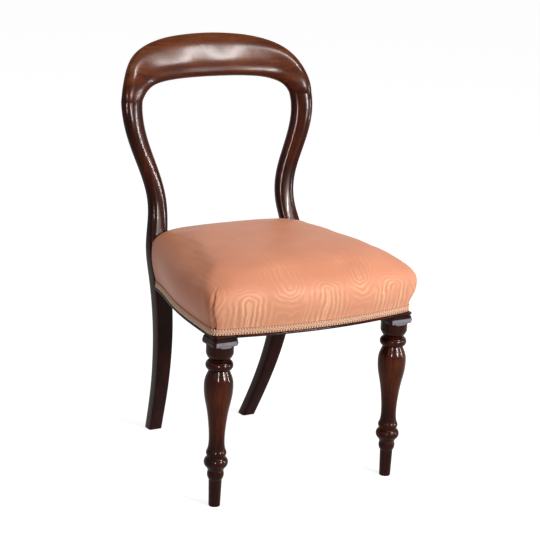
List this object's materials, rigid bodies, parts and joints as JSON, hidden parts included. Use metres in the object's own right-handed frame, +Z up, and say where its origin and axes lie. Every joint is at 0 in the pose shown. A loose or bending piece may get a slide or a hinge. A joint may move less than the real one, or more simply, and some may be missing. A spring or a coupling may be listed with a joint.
{
  "type": "dining chair",
  "caption": "Dining chair with an open rounded back hoop, turned front legs, swept back legs and a sprung seat in figured fabric edged with braid.",
  "frame": {"origin": "middle of the footprint on the floor", "axes": "+Z up, +X to the sitter's right hand side as seen from the front, +Y to the back"},
  "size_m": [0.4984, 0.5617, 0.877],
  "materials": {
    "mahogany": "french polished",
    "rail_wood": "polished outside, plain inside",
    "block_wood": "plain",
    "dowel_wood": "plain",
    "screw_steel": "dull",
    "tack_steel": "blued",
    "webbing_jute": "woven",
    "spring_wire": "coppered",
    "hessian": "coarse woven",
    "horsehair": "curled hair",
    "cotton": "felted",
    "moire_fabric": "watered silk",
    "gimp_braid": "looped braid"
  },
  "bodies": {
    "root": {"back_post_left": "mahogany", "back_post_right": "mahogany", "back_rail": "rail_wood", "corner_block_front_left": "block_wood", "corner_block_front_right": "block_wood", "corner_block_rear_left": "block_wood", "corner_block_rear_right": "block_wood", "corner_block_screws": "screw_steel", "cotton_wadding": "cotton", "crest_dowels": "dowel_wood", "crest_rail": "mahogany", "front_leg_left": "mahogany", "front_leg_right": "mahogany", "front_rail": "rail_wood", "front_rail_bead": "mahogany", "gimp_braid_back": "gimp_braid", "gimp_braid_front": "gimp_braid", "hair_stuffing": "horsehair", "seat_cover": "moire_fabric", "seat_spring_front_left": "spring_wire", "seat_spring_front_right": "spring_wire", "seat_spring_middle": "spring_wire", "seat_spring_rear_left": "spring_wire", "seat_spring_rear_right": "spring_wire", "side_rail_bead_left": "mahogany", "side_rail_bead_right": "mahogany", "side_rail_left": "rail_wood", "side_rail_right": "rail_wood", "spring_canvas": "hessian", "webbing_cross_front": "webbing_jute", "webbing_cross_middle": "webbing_jute", "webbing_cross_rear": "webbing_jute", "webbing_long_left": "webbing_jute", "webbing_long_middle": "webbing_jute", "webbing_long_right": "webbing_jute", "webbing_tacks": "tack_steel"}
  },
  "joints": []
}
